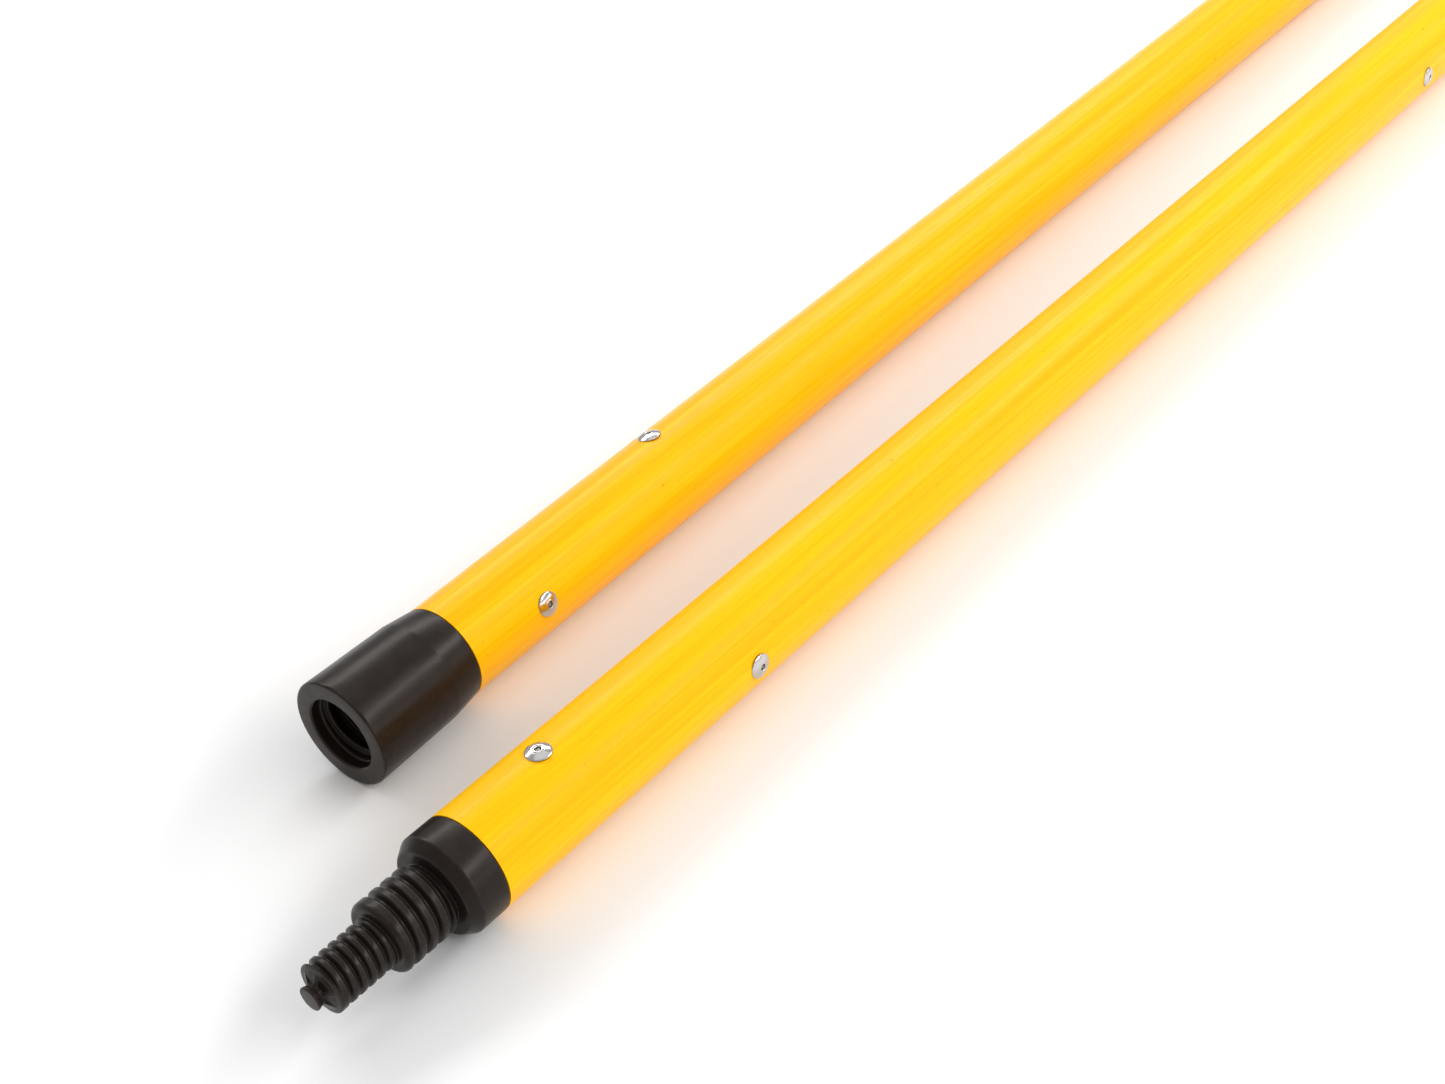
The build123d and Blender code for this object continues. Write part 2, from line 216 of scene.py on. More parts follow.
class PoleStage(bpy.types.PropertyGroup):
    """Camera and lights, placed from section a's socket shoulder on the floor."""

    eye: FloatVectorProperty(
        name="Eye", description="Camera from the shoulder", default=(-0.2967, -0.3835, 0.4048), size=3
    )
    heading: angle("Heading", "Turn of the view from the x axis", 41.75)
    dip: angle("Dip", "How far the view looks down", 36.83)
    lean: angle("Lean", "How far the camera's right side dips", 6.665)
    lens: FloatProperty(name="Lens", description="Focal length on a 36 mm sensor", default=50.26)
    sky: FloatProperty(name="Sky", description="Strength of the even surrounding light", default=0.52)
    front_power: FloatProperty(name="Front", description="Front softbox", default=17.0, unit="POWER")
    low_power: FloatProperty(name="Low", description="Low front softbox", default=4.0, unit="POWER")
    back_power: FloatProperty(name="Back", description="Back softbox", default=15.0, unit="POWER")
    top_power: FloatProperty(name="Top", description="Overhead softbox", default=4.5, unit="POWER")


# Section frames


def centroid(node):
    """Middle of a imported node's surface: each triangle's centre, weighted by its area."""
    mesh = frame["nodes"][node].data
    mesh.calc_loop_triangles()
    points = np.empty(len(mesh.vertices) * 3)
    mesh.vertices.foreach_get("co", points)
    corners = np.empty(len(mesh.loop_triangles) * 3, np.int32)
    mesh.loop_triangles.foreach_get("vertices", corners)
    triangle = points.reshape(-1, 3)[corners.reshape(-1, 3)]
    area = np.linalg.norm(
        np.cross(triangle[:, 1] - triangle[:, 0], triangle[:, 2] - triangle[:, 0]), axis=1
    )
    return (triangle.mean(axis=1) * area[:, None]).sum(axis=0) / area.sum()


def section_frame(section):
    """Origin and axes of a section: x from socket to male end, z through its near rivets."""
    sizes = bpy.context.scene.pole_section
    male = bpy.context.scene.pole_male
    mounts = {mount["name"]: mount for mount in frame["record"]["mounts"]}
    along = np.array(mounts[f"{section}_large_thread"]["axis"], float)
    along /= np.linalg.norm(along)
    mouth = np.array(mounts[f"{section}_socket_mouth"]["pos_m"], float)
    face = np.array(mounts[f"{section}_male_shoulder"]["pos_m"], float)
    reach = (face - mouth) @ along - sizes.tube_length - male.collar_end
    origin = mouth + along * reach
    radial = centroid(f"{section}_socket_rivet_near") - origin
    radial -= along * (radial @ along)
    radial /= np.linalg.norm(radial)
    return origin, np.stack([along, np.cross(radial, along), radial])


# Profiles and grids


def rounded(corners, arc_points=7):
    """A profile through corners given as (x, r, radius).

    Each corner with a radius becomes an arc tangent to the runs on both its sides: the arc
    starts radius times the tangent of half the turn before the corner.
    """
    profile = [np.array(corners[0][:2])]
    for before, here, after in zip(corners, corners[1:], corners[2:]):
        corner = np.array(here[:2])
        into = corner - np.array(before[:2])
        out = np.array(after[:2]) - corner
        run = min(np.linalg.norm(into), np.linalg.norm(out))
        into /= np.linalg.norm(into)
        out /= np.linalg.norm(out)
        turn = math.acos(float(np.clip(into @ out, -1, 1)))
        if here[2] <= 0 or turn < 1e-3:
            profile.append(corner)
            continue
        reach = min(here[2] * math.tan(turn / 2), 0.49 * run)
        radius = reach / math.tan(turn / 2)
        inward = (out - into) / np.linalg.norm(out - into)
        middle = corner + inward * radius / math.cos(turn / 2)
        sweep = np.linspace(-turn / 2, turn / 2, arc_points)[:, None]
        tangent = (into + out) / np.linalg.norm(into + out)
        profile.extend(middle + radius * (np.sin(sweep) * tangent - np.cos(sweep) * inward))
    profile.append(np.array(corners[-1][:2]))
    return np.array(profile)


def divided(profile, fine, start, end, coarse=0.012):
    """The same profile with each run cut into equal lengths, fine between two stations."""
    rows = [profile[:1]]
    for low, high in zip(profile, profile[1:]):
        middle = (low[0] + high[0]) / 2
        step = fine if start <= middle <= end else coarse
        cuts = max(1, math.ceil(np.linalg.norm(high - low) / step - 1e-6))
        rows.append(low + (high - low) * (np.arange(1, cuts + 1) / cuts)[:, None])
    return np.concatenate(rows)


def soft_min(a, b, width):
    """The lower of two surfaces, with the crease between them rounded over a width."""
    mix = np.clip(0.5 + 0.5 * (b - a) / width, 0, 1)
    return b * (1 - mix) + a * mix - width * mix * (1 - mix)


def soft_max(a, b, width):
    """The higher of two surfaces, with the crease rounded over a width."""
    return -soft_min(-a, -b, width)


def ease(low, high, value):
    """0 below low, 1 above high, with a smooth rise between."""
    t = np.clip((value - low) / (high - low), 0, 1)
    return t * t * (3 - 2 * t)


def groove_radius(x, turn, start, pitch, entry, floor_r, crest_r, floor_w, top_w, first, last, fade):
    """Radius of a left-handed helical groove's own surface over a grid of stations and turns.

    The groove's middle lies at start + pitch * (entry - turn) / one turn, plus whole pitches.
    Its walls rise in straight lines from the floor's width to the top's, and its floor lifts
    away past the first and last stations so that it runs out.
    """
    middle = start + pitch * (entry - turn) / TURN
    offset = np.mod(x - middle + pitch / 2, pitch) - pitch / 2
    slope = (crest_r - floor_r) / ((top_w - floor_w) / 2)
    wall = floor_r + slope * (np.abs(offset) - floor_w / 2)
    bottom = np.full_like(wall, floor_r)
    if crest_r > floor_r:
        surface = soft_max(bottom, wall, 0.45 * MM)
    else:
        surface = soft_min(bottom, wall, 0.45 * MM)
    station = x - offset
    lift = (1 - ease(first - fade, first, station)) + ease(last, last + fade, station)
    return surface + lift * 1.6 * (crest_r - floor_r)


def lathe_points(x, r, turn):
    """Points of a lathe surface: x stays, and r turns from z towards minus y."""
    return np.stack([np.broadcast_to(x, r.shape), -r * np.sin(turn), r * np.cos(turn)], axis=-1)


def edge_share(x, r, scale):
    """Outward bend of a grid along its rows times a scale, held between 0 and 1.

    The bend is x' r'' - r' x'' over the speed cubed, with its sign turned so that a ridge
    counts and a hollow doesn't.
    """
    x = np.broadcast_to(x, r.shape)
    dx, dr = np.gradient(x, axis=0), np.gradient(r, axis=0)
    ddx, ddr = np.gradient(dx, axis=0), np.gradient(dr, axis=0)
    speed = np.maximum(dx * dx + dr * dr, 1e-14) ** 1.5
    return np.clip(-(dx * ddr - dr * ddx) / speed * scale, 0, 1)


def ring_faces(rows, columns, joined=False):
    """Four-sided faces between neighbouring rows of a grid whose columns run all the way round."""
    row = np.arange(rows if joined else rows - 1)[:, None]
    column = np.arange(columns)[None, :]
    beside = (column + 1) % columns
    here, above = row * columns, (row + 1) % rows * columns
    quads = np.stack(
        [here + column, here + beside, above + beside, above + column], axis=-1
    )
    return quads.reshape(-1, 4)


def cap_faces(row, pole, columns):
    """Triangles from one row of a grid to the single point that closes it."""
    column = np.arange(columns)
    start = row * columns
    pole = np.full(columns, pole)
    return np.stack([pole, start + (column + 1) % columns, start + column], axis=-1)


def both_caps(rows, columns):
    """Triangles that close a grid's two ends on the two points stored after it."""
    first = rows * columns
    last = cap_faces(rows - 1, first + 1, columns)[:, ::-1]
    return np.concatenate([cap_faces(0, first, columns), last])


def signed_volume(points, triangles):
    """Volume inside closed triangles, negative when they face inwards."""
    a, b, c = (points[triangles[:, k]] for k in range(3))
    return float(np.einsum("ij,ij->i", a, np.cross(b, c)).sum() / 6)


def make_piece(name, section, points, quads, triangles, attributes, material, node):
    """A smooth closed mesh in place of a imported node, riding on its section.

    Points are in the section's frame; each goes to the origin plus its three shares of the
    section's axes. Faces that enclose a negative volume are turned over.
    """
    origin, axes = section_frame(section)
    points = origin + points.reshape(-1, 3) @ axes
    fan = np.concatenate([quads[:, [0, 1, 2]], quads[:, [0, 2, 3]], triangles])
    if signed_volume(points, fan) < 0:
        quads, triangles = quads[:, ::-1], triangles[:, ::-1]
    corners = np.concatenate([quads.ravel(), triangles.ravel()]).astype(np.int32)
    starts = np.concatenate(
        [np.arange(len(quads)) * 4, len(quads) * 4 + np.arange(len(triangles)) * 3]
    )
    mesh = bpy.data.meshes.new(name)
    mesh.vertices.add(len(points))
    mesh.vertices.foreach_set("co", points.astype(np.float32).ravel())
    mesh.loops.add(len(corners))
    mesh.loops.foreach_set("vertex_index", corners)
    mesh.polygons.add(len(starts))
    mesh.polygons.foreach_set("loop_start", starts.astype(np.int32))
    mesh.update(calc_edges=True)
    if mesh.validate():
        raise RuntimeError(f"{name}: the mesh had faults")
    mesh.shade_smooth()
    for label, values in attributes.items():
        layer = mesh.attributes.new(label, "FLOAT", "POINT")
        layer.data.foreach_set("value", values.astype(np.float32).ravel())
    mesh.materials.append(material)
    piece = bpy.data.objects.new(name, mesh)
    bpy.context.scene.collection.objects.link(piece)
    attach(piece, section)
    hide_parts(node)
    return piece


def make_fitting(section, fitting, x, r, turn, mirror, recess, front):
    """A fitting from its grid of radii, closed by one point on the axis at each end."""
    sizes = bpy.context.scene.pole_section
    points = lathe_points(x, r, turn)
    poles = np.array([[x[0, 0], 0, 0], [x[-1, 0], 0, 0]])
    points = np.concatenate([points.reshape(-1, 3), poles])
    if mirror:
        points *= (-1, -1, 1)
    else:
        points += (sizes.tube_length, 0, 0)
    rows, columns = r.shape
    quads = ring_faces(rows, columns)
    triangles = both_caps(rows, columns)
    edge = np.append(edge_share(x, r, 0.45 * MM), [0, 0])
    # The recess share becomes painted shade in the nylon, and the front share a painted paler sheen on the
    # socket's face.
    attributes = {
        EDGE: edge,
        RECESS_SHADE: np.append(recess, [0, 0]),
        FRONT_SHEEN: np.append(front, [0, 0]),
    }
    return make_piece(
        f"{section}_{fitting}_moulding",
        section,
        points,
        quads,
        triangles,
        attributes,
        bpy.data.materials[f"{section} black nylon"],
        f"{section}_{fitting}_end",
    )


# The two fittings


def spigot_corners(back, sizes):
    """The spigot's half section, from the axis round its open end and out to the shoulder."""
    return [
        (-back, 0.02 * MM, 0),
        (-back, sizes.spigot_bore, 0.4 * MM),
        (-sizes.spigot_length, sizes.spigot_bore, 0.5 * MM),
        (-sizes.spigot_length, sizes.spigot_radius, 0.8 * MM),
        (0, sizes.spigot_radius, 0.2 * MM),
        (0, sizes.tube_radius, 0.35 * MM),
    ]


def male_corners(sizes, male):
    """The male end's half section, with plain stages and a plain cone."""
    step = male.large_end
    return spigot_corners(male.solid_back, sizes) + [
        (male.collar_straight - 0.3 * MM, sizes.tube_radius, 1.6 * MM),
        (male.collar_end, male.collar_face_radius, 1.1 * MM),
        (male.collar_end, male.large_root, 0.3 * MM),
        (male.large_start, male.large_root, 0.25 * MM),
        (male.large_start + 0.9 * MM, male.large_radius, 0.6 * MM),
        (step, male.large_radius, male.large_round),
        (step, male.small_radius - 0.3 * MM, 0.4 * MM),
        (step + 1.0 * MM, male.small_radius, 0.5 * MM),
        (male.small_end, male.small_radius, 0.35 * MM),
        (male.small_end + 0.35 * MM, male.rib_radius, 0.15 * MM),
        (male.waist - 0.5 * MM, male.waist_radius + 0.4 * MM, 0.6 * MM),
        (male.waist, male.waist_radius, 0.4 * MM),
        (male.nose_end - 0.3 * MM, male.button_radius, 0.2 * MM),
        (male.nose_end, male.button_radius - 0.2 * MM, 0.15 * MM),
        (male.nose_end, 0.02 * MM, 0),
    ]


def nose_radius(x, turn, male):
    """Radius of the scooped cone behind the button.

    Between ribs it falls from the ribs' radius to the waist's in a little over a millimetre. On
    a rib it stays on the plain cone, and a narrow bell round each rib's turn joins the two.
    """
    start = male.small_end + 0.35 * MM
    fall = ease(start - 0.2 * MM, start + 1.0 * MM, x)
    valley = male.rib_radius * (1 - fall) + male.waist_radius * fall
    step = TURN / male.ribs
    offset = np.mod(turn - male.rib_turn + step / 2, step) - step / 2
    rib = np.exp(-((offset / math.radians(11.0)) ** 4))
    return valley, rib


def make_male_end(section):
    """A male end: a lathe surface whose radius is the lower of the profile and both grooves."""
    scene = bpy.context.scene
    sizes, male = scene.pole_section, scene.pole_male
    profile = divided(
        rounded(male_corners(sizes, male)), 0.105 * MM, male.collar_end, male.waist + 0.5 * MM
    )
    turn = (np.arange(sizes.columns) * TURN / sizes.columns)[None, :]
    x, plain = profile[:, :1], np.repeat(profile[:, 1:], sizes.columns, axis=1)
    large = groove_radius(
        x, turn, male.large_start, male.large_pitch, male.large_entry,
        male.large_root, male.large_radius, male.large_bottom, male.large_top,
        male.large_start - 4 * MM, male.large_end - male.large_round + 0.2 * MM, 0.9 * MM,
    )
    small = groove_radius(
        x, turn, male.small_start, male.small_pitch, male.small_entry,
        male.small_root, male.small_radius, male.small_bottom, male.small_top,
        male.small_start - 0.4 * MM, male.small_last, 0.8 * MM,
    )
    r = plain.copy()
    on_large = ((x > male.large_start) & (x < male.large_end - 0.02 * MM))[:, 0]
    on_small = ((x > male.large_end + 0.02 * MM) & (x < male.small_end + 0.4 * MM))[:, 0]
    on_nose = ((x >= male.small_end + 0.3 * MM) & (x <= male.waist + 0.1 * MM))[:, 0]
    r[on_large] = soft_min(plain, large, LARGE_CREASE)[on_large]
    r[on_small] = soft_min(plain, small, SMALL_CREASE)[on_small]
    valley, rib = nose_radius(x, turn, male)
    scooped = np.minimum(plain, valley) * (1 - rib) + plain * rib
    r[on_nose] = scooped[on_nose]
    # recess: painted shade in the thread grooves and the nose's scoops, and across the neck
    recess = np.clip((plain - r) / GROOVE_SHADE_DEPTH, 0, 1)
    neck = ((x > male.collar_end - 0.1 * MM) & (x < male.large_start + 0.3 * MM))[:, 0]
    recess[neck] = np.maximum(recess[neck], ease(*NECK_SHADE, plain[neck]))
    return make_fitting(section, "male", x, r, turn, False, recess, np.zeros_like(r))


def socket_corners(sizes, socket):
    """The socket end's half section: out along the sleeve, round the rim, and down the bore."""
    mouth_end = socket.face - socket.mouth_depth
    return spigot_corners(socket.bore_end + socket.web, sizes) + [
        (socket.flare_end, socket.flare_radius, 1.2 * MM),
        (socket.face, socket.rim_radius, socket.rim_round),
        (socket.face, socket.mouth_radius + 0.5 * MM, 0.15 * MM),
        (socket.face - 0.5 * MM, socket.mouth_radius, 0.2 * MM),
        (mouth_end, socket.mouth_radius, 0.3 * MM),
        (mouth_end - 1.27 * MM, socket.minor_radius, 0.4 * MM),
        (socket.thread_end, socket.minor_radius, 0.3 * MM),
        (socket.thread_end, socket.pilot_radius, 0.3 * MM),
        (-socket.bore_end, socket.pilot_radius, 0.6 * MM),
        (-socket.bore_end, 0.02 * MM, 0),
    ]


def make_socket_end(section):
    """A socket end: its bore's radius is the higher of the profile and the inside groove."""
    scene = bpy.context.scene
    sizes, male, socket = scene.pole_section, scene.pole_male, scene.pole_socket
    profile = rounded(socket_corners(sizes, socket))
    rim = int(np.argmax(profile[:, 0]))
    profile = np.concatenate(
        [
            divided(profile[: rim + 1], 0.012, 0, 0, 0.004),
            divided(profile[rim:], 0.105 * MM, socket.thread_end, socket.face - 3 * MM, 0.004)[1:],
        ]
    )
    turn = (np.arange(sizes.columns) * TURN / sizes.columns)[None, :]
    x, plain = profile[:, :1], np.repeat(profile[:, 1:], sizes.columns, axis=1)
    mouth_end = socket.face - socket.mouth_depth
    groove = groove_radius(
        x, turn, socket.thread_end + male.large_pitch, male.large_pitch, male.large_entry,
        socket.major_radius, socket.minor_radius, socket.groove_at_root, socket.groove_at_crest,
        socket.thread_end + 0.8 * male.large_pitch, mouth_end + 0.4 * MM, 0.9 * MM,
    )
    inside = np.arange(len(x)) > int(np.argmax(x[:, 0])) + 1
    threaded = inside & (x[:, 0] > socket.thread_end + 0.02 * MM) & (x[:, 0] < mouth_end + 0.2 * MM)
    r = plain.copy()
    r[threaded] = soft_max(plain, groove, SOCKET_CREASE)[threaded]
    r = np.where(threaded[:, None], np.minimum(r, socket.mouth_radius), r)
    # painted shade inside the bore: none near the face, full at the thread's inner end
    bore_shade = ease(socket.face - 2 * MM, socket.thread_end, x) * inside[:, None]
    bore_shade = np.broadcast_to(bore_shade, r.shape)
    # the socket's flat face gets a painted paler sheen, full just behind the face
    starts, full = FRONT_SHEEN_EDGE
    front = ease(socket.face - starts, socket.face - full, x) * (r > socket.mouth_radius)
    return make_fitting(section, "socket", x, r, turn, True, bore_shade, front)


# Rivets


def rivet_places():
    """Fitting, name, station along the section and turn of each of a section's four rivets."""
    scene = bpy.context.scene
    rivet, reach = scene.pole_rivet, scene.pole_section.tube_length
    quarter = -TURN / 4
    return (
        ("socket", "near", rivet.near, 0.0),
        ("socket", "far", rivet.far, quarter),
        ("male", "near", reach - rivet.near, 0.0),
        ("male", "far", reach - rivet.far, quarter),
    )


def stood_up(rho, height, round_turn, station, turn):
    """Points at a distance rho from a rivet's own axis and a height from the section's axis."""
    along = rho * np.cos(round_turn)
    across = rho * np.sin(round_turn)
    height = np.broadcast_to(height, across.shape)
    y = across * math.cos(turn) - height * math.sin(turn)
    z = across * math.sin(turn) + height * math.cos(turn)
    return np.stack([along + station, y, z], axis=-1)


def rivet_profile():
    """Half section of a set rivet as rows of (rho, height, saddle).

    Rows with a saddle radius sit on a cylinder of that radius, so their height is measured
    from it; the others are measured from the section's axis. The crown is a shallow dome with
    a raised lip at the bore, where the mandrel pulled through.
    """
    scene = bpy.context.scene
    rivet, sizes = scene.pole_rivet, scene.pole_section
    crown = sizes.tube_radius + rivet.head_height
    rim = sizes.tube_radius + rivet.edge_height
    bottom = sizes.spigot_bore - rivet.bulb_length
    head = rivet.head_radius
    dome_r = (head**2 + (crown - rim) ** 2) / 2 / (crown - rim)
    rho = np.linspace(rivet.bore_radius + 0.35 * MM, head - 0.12 * MM, 22)
    dome = crown - dome_r + np.sqrt(dome_r**2 - rho**2)
    dome -= 0.06 * MM * np.exp(-(((rho - 1.75 * MM) / (0.22 * MM)) ** 2))
    edge_turn = np.linspace(0.3, TURN / 2 - 0.3, 7)
    edge = np.stack(
        [
            head - 0.12 * MM + 0.12 * MM * np.sin(edge_turn),
            rim - 0.10 * MM + 0.12 * MM * np.cos(edge_turn),
        ],
        axis=-1,
    )
    mouth = np.array(
        [
            (rivet.bore_radius, crown - 0.55 * MM),
            (rivet.bore_radius + 0.02 * MM, crown - 0.32 * MM),
            (rivet.bore_radius + 0.10 * MM, crown - 0.14 * MM),
            (rivet.bore_radius + 0.20 * MM, crown - 0.07 * MM),
        ]
    )
    bulb = rivet.bulb_radius
    free = np.concatenate([mouth, np.stack([rho, dome], axis=-1), edge])
    free = np.column_stack([free, np.zeros(len(free))])
    seat, inner = sizes.tube_radius, sizes.spigot_bore
    shank = rivet.shank_radius
    under = [
        (head - 0.10 * MM, 0.0, seat),
        (head * 0.75, 0.0, seat),
        (shank + 0.15 * MM, 0.0, seat),
        (shank, -0.10 * MM, seat),
        (shank, 0.10 * MM, inner),
        (shank + 0.10 * MM, 0.0, inner),
        (bulb - 0.35 * MM, 0.0, inner),
        (bulb - 0.08 * MM, -0.16 * MM, inner),
        (bulb, -0.6 * MM, inner),
        (bulb, bottom + 0.9 * MM, 0),
        (bulb - 0.12 * MM, bottom + 0.35 * MM, 0),
        (bulb - 0.45 * MM, bottom + 0.06 * MM, 0),
        (bulb - 0.9 * MM, bottom, 0),
        (rivet.bore_radius + 0.1 * MM, bottom, 0),
        (rivet.bore_radius, bottom + 0.1 * MM, 0),
        (rivet.bore_radius, (bottom + crown) / 2, 0),
    ]
    return np.concatenate([free, np.array(under)])


def make_rivet(section, fitting, name, station, turn, columns=72):
    """A set rivet: a closed ring of rows, with its saddle rows bent to the tube and spigot.

    A saddle's height is the square root of its radius squared less the distance across squared.
    """
    rows = rivet_profile()
    round_turn = (np.arange(columns) * TURN / columns)[None, :]
    rho = np.repeat(rows[:, :1], columns, axis=1)
    saddle = rows[:, 2:]
    across = rho * np.sin(round_turn)
    seat = np.where(saddle > 0, np.sqrt(np.maximum(saddle**2 - across**2, 0)), 0)
    height = rows[:, 1:2] + seat
    points = stood_up(rho, height, round_turn, station, turn)
    quads = ring_faces(len(rows), columns, joined=True)
    scene = bpy.context.scene
    crown = scene.pole_section.tube_radius + scene.pole_rivet.head_height
    # the share of painted shade in the rivet's bore, below the crown near its axis
    recess = ease(crown - 0.05 * MM, crown - 0.5 * MM, height) * (rho < 1.4 * MM)
    near_edge = ease(3.3 * MM, 4.0 * MM, rho) * (height > 15 * MM)
    return make_piece(
        f"{section}_{fitting}_rivet_{name}_head",
        section,
        points,
        quads,
        np.empty((0, 3), int),
        {EDGE: near_edge, RECESS_SHADE: recess},
        bpy.data.materials["rivet aluminium"],
        f"{section}_{fitting}_rivet_{name}",
    )


def make_mandrel(section, fitting, name, station, turn, columns=48):
    """A broken mandrel: a headed stem whose top is a torn cup.

    The torn top drops by a share of two sine waves round the stem, more towards its rim.
    """
    scene = bpy.context.scene
    rivet, sizes = scene.pole_rivet, scene.pole_section
    top = sizes.tube_radius + rivet.head_height - rivet.recess
    head_top = sizes.spigot_bore - rivet.bulb_length
    base = head_top - rivet.mandrel_head_length
    stem, head = rivet.mandrel_radius, rivet.mandrel_head
    corners = [
        (base, 0.01 * MM, 0),
        (base, 0.6 * head, 0.2 * MM),
        (base + 0.5 * rivet.mandrel_head_length, head, 0.4 * MM),
        (head_top, head, 0.2 * MM),
        (head_top, stem, 0.1 * MM),
        (top - 0.35 * MM, stem, 0.4 * MM),
        (top - 0.08 * MM, 0.72 * stem, 0.1 * MM),
        (top - 0.16 * MM, 0.35 * stem, 0.1 * MM),
        (top - 0.16 * MM, 0.01 * MM, 0),
    ]
    profile = divided(rounded(corners, 5), 0.12 * MM, top - 0.5 * MM, top, 0.004)
    round_turn = (np.arange(columns) * TURN / columns)[None, :]
    rho = np.repeat(profile[:, 1:], columns, axis=1)
    torn = ease(top - 0.5 * MM, top - 0.1 * MM, profile[:, :1]) * rho / stem
    wave = 0.5 + 0.3 * np.sin(3 * round_turn + station * 40) + 0.2 * np.sin(7 * round_turn + 1)
    height = profile[:, :1] - 0.16 * MM * torn * wave
    points = stood_up(rho, height, round_turn, station, turn)
    poles = stood_up(np.zeros((2, 1)), profile[[0, -1], :1], np.zeros((1, 1)), station, turn)
    points = np.concatenate([points.reshape(-1, 3), poles.reshape(-1, 3)])
    rows = len(profile)
    triangles = both_caps(rows, columns)
    values = np.append(np.broadcast_to(torn, rho.shape), [0, 0])
    return make_piece(
        f"{section}_{fitting}_mandrel_{name}_stub",
        section,
        points,
        ring_faces(rows, columns),
        triangles,
        {EDGE: values, RECESS_SHADE: 1 - values},
        bpy.data.materials["mandrel steel"],
        f"{section}_{fitting}_mandrel_{name}",
    )


# Shader nodes


def add(tree, kind, inputs=None, **settings):
    """A node with its settings made and its named or numbered inputs set or joined."""
    made = tree.nodes.new(kind)
    for name, value in settings.items():
        setattr(made, name, value)
    for name, value in (inputs or {}).items():
        socket = made.inputs[name]
        if isinstance(value, bpy.types.NodeSocket):
            tree.links.new(value, socket)
        else:
            socket.default_value = value
    return made


def stretched(tree, vector, scale):
    """A vector multiplied along its three axes, so that a pattern is drawn out or packed."""
    return add(tree, "ShaderNodeVectorMath", {0: vector, 1: scale}, operation="MULTIPLY").outputs[0]


def noise(tree, vector, scale, detail=2.0, roughness=0.5):
    """A noise value from 0 to 1."""
    inputs = {"Vector": vector, "Scale": scale, "Detail": detail, "Roughness": roughness}
    return add(tree, "ShaderNodeTexNoise", inputs).outputs[0]


def ranged(tree, value, low, high, to_low=0.0, to_high=1.0, smooth=True):
    """A value carried from one range to another and held there."""
    inputs = {0: value, 1: low, 2: high, 3: to_low, 4: to_high}
    kind = "SMOOTHSTEP" if smooth else "LINEAR"
    return add(tree, "ShaderNodeMapRange", inputs, interpolation_type=kind).outputs[0]


def sums(tree, operation, a, b):
    """Arithmetic on two values."""
    return add(tree, "ShaderNodeMath", {0: a, 1: b}, operation=operation).outputs[0]


def blended(tree, share_of_b, a, b):
    """Colour a turned towards colour b by a share."""
    inputs = {0: share_of_b, 6: a, 7: b}
    return add(tree, "ShaderNodeMix", inputs, data_type="RGBA").outputs[2]


def tinged(tree, paint, mask, amount, tint):
    """Paint with a tint laid over it, as strongly as a mask times an amount."""
    return blended(tree, sums(tree, "MULTIPLY", mask, amount), paint, tint)


def rgba(value):
    """A colour property as the four numbers that a socket takes."""
    return (*value, 1.0)


def effect(name, inputs, outputs):
    """An empty shader group with its named sockets, and its inputs and outputs to join."""
    tree = bpy.data.node_groups.new(name, "ShaderNodeTree")
    for label, kind, default in inputs:
        socket = tree.interface.new_socket(label, in_out="INPUT", socket_type=kind)
        if default is not None:
            socket.default_value = default
    for label in outputs:
        tree.interface.new_socket(label, in_out="OUTPUT", socket_type="NodeSocketFloat")
    return tree, add(tree, "NodeGroupInput").outputs, add(tree, "NodeGroupOutput")


def drawn_fibre_group():
    """Lengthwise streaks of a drawn fibre tube: broad bands, fine streaks, specks and height."""
    tree, given, result = effect(
        "drawn fibre",
        [("Vector", "NodeSocketVector", None)],
        ("Bands", "Streaks", "Hairs", "Specks", "Height"),
    )
    vector = given["Vector"]
    bands = noise(tree, stretched(tree, vector, (1.6, 95.0, 95.0)), 1.0, 2.0, 0.55)
    streaks = noise(tree, stretched(tree, vector, (7.0, 620.0, 620.0)), 1.0, 3.0, 0.6)
    hairs = noise(tree, stretched(tree, vector, (26.0, 2300.0, 2300.0)), 1.0, 2.0, 0.6)
    specks = noise(tree, stretched(tree, vector, (520.0, 1150.0, 1150.0)), 1.0, 1.0, 0.5)
    height = sums(tree, "ADD", sums(tree, "MULTIPLY", streaks, 0.6), sums(tree, "MULTIPLY", hairs, 0.4))
    found = {
        "Bands": ranged(tree, bands, 0.33, 0.67),
        "Streaks": ranged(tree, streaks, 0.35, 0.68),
        "Hairs": ranged(tree, hairs, 0.40, 0.66),
        "Specks": ranged(tree, specks, 0.77, 0.81),
        "Height": height,
    }
    for label, value in found.items():
        tree.links.new(value, result.inputs[label])
    return tree


def hairline_group():
    """Sparse hairline scratches in two directions, as a mask."""
    tree, given, result = effect(
        "hairline scratches",
        [("Vector", "NodeSocketVector", None), ("Cover", "NodeSocketFloat", 0.5)],
        ("Mask",),
    )
    lines = []
    for turn, offset in ((0.35, 3.1), (-0.75, 8.7)):
        aimed = add(
            tree,
            "ShaderNodeMapping",
            {"Vector": given["Vector"], "Location": (offset, 0, 0), "Rotation": (0, turn, turn)},
        ).outputs[0]
        fine = noise(tree, stretched(tree, aimed, (28.0, 1500.0, 1500.0)), 1.0, 1.0, 0.4)
        patch = noise(tree, aimed, 24.0, 1.0, 0.5)
        line = ranged(tree, fine, 0.725, 0.76)
        lines.append(sums(tree, "MULTIPLY", line, ranged(tree, patch, 0.52, 0.66)))
    mask = sums(tree, "MULTIPLY", sums(tree, "MAXIMUM", *lines), given["Cover"])
    tree.links.new(mask, result.inputs["Mask"])
    return tree


